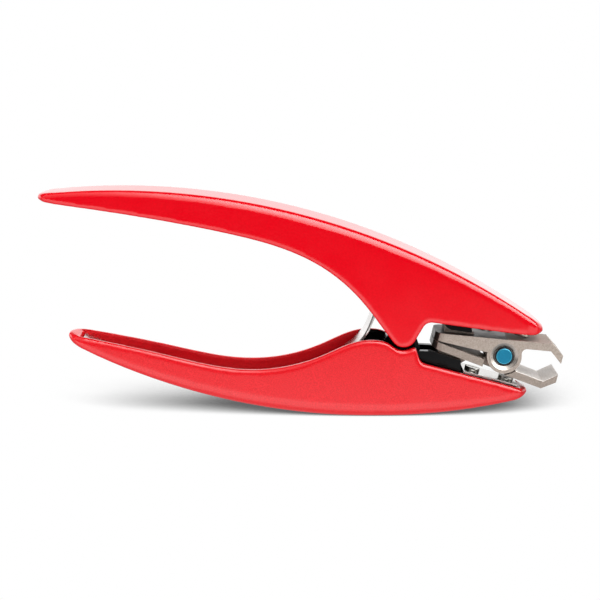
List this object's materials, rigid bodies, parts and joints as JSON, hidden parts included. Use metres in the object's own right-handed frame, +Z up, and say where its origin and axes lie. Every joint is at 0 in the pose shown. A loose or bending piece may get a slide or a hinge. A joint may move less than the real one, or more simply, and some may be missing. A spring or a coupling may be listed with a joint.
{
  "type": "compound-lever hand cutter",
  "caption": "Spring-opened compound-lever hand cutter with arched red channel handles, linked bent steel jaws on a blue-capped pivot pin and a leaf spring.",
  "frame": {"origin": "bottom centre of the overall box at rest: the plane of the rest flat under the lower handle, midway along and across the tool", "axes": "+X from the handle tails to the jaws (longest extent), +Y across the tool, +Z up from the lower handle to the upper one"},
  "size_m": [0.1413, 0.0178, 0.0613],
  "materials": {
    "red_paint": "gloss",
    "black_polymer": "satin",
    "polished_steel": "polished",
    "screw_steel": "satin",
    "pin_steel": "satin",
    "blasted_steel": "satin",
    "blue_anodised": "satin",
    "spring_steel": "polished"
  },
  "bodies": {
    "lower_handle": {"lower_handle": "red_paint", "lower_carrier": "black_polymer", "lower_front_plate": "polished_steel", "lower_carrier_screws": "screw_steel", "lower_plate_screws": "screw_steel", "spring_screw": "screw_steel", "leaf_spring": "spring_steel", "lower_link_pin": "pin_steel"},
    "upper_handle": {"upper_handle": "red_paint", "upper_carrier": "black_polymer", "upper_front_plate": "polished_steel", "upper_carrier_screws": "screw_steel", "upper_plate_screws": "screw_steel", "hinge_pin": "pin_steel", "hinge_washers": "pin_steel", "upper_link_pin": "pin_steel"},
    "lower_jaw": {"lower_jaw": "blasted_steel"},
    "upper_jaw": {"upper_jaw": "blasted_steel", "jaw_pivot_pin": "pin_steel", "jaw_pin_caps": "blue_anodised", "jaw_washers": "pin_steel"}
  },
  "joints": [
    {"name": "handle_squeeze", "type": "hinge", "parent": "lower_handle", "child": "upper_handle", "pos_m": [0.0275, 0, 0.0227], "axis": [0, -1, 0], "range_deg": [0, 13.8], "stiffness_Nm_per_rad": 1.6, "springref_deg": -6.88, "deforming": ["leaf_spring"]},
    {"name": "lower_jaw_swing", "type": "hinge", "parent": "lower_handle", "child": "lower_jaw", "pos_m": [0.03819, 0, 0.01352], "axis": [0, -1, 0], "range_deg": [0, 12.5]},
    {"name": "upper_jaw_bite", "type": "hinge", "parent": "lower_jaw", "child": "upper_jaw", "pos_m": [0.05476, 0, 0.01631], "axis": [0, -1, 0], "range_deg": [-11.1, 0]}
  ],
  "couplings": [
    {"joint": "lower_jaw_swing", "follows": "handle_squeeze", "ratio": 0.898},
    {"joint": "upper_jaw_bite", "follows": "handle_squeeze", "ratio": -0.797}
  ]
}
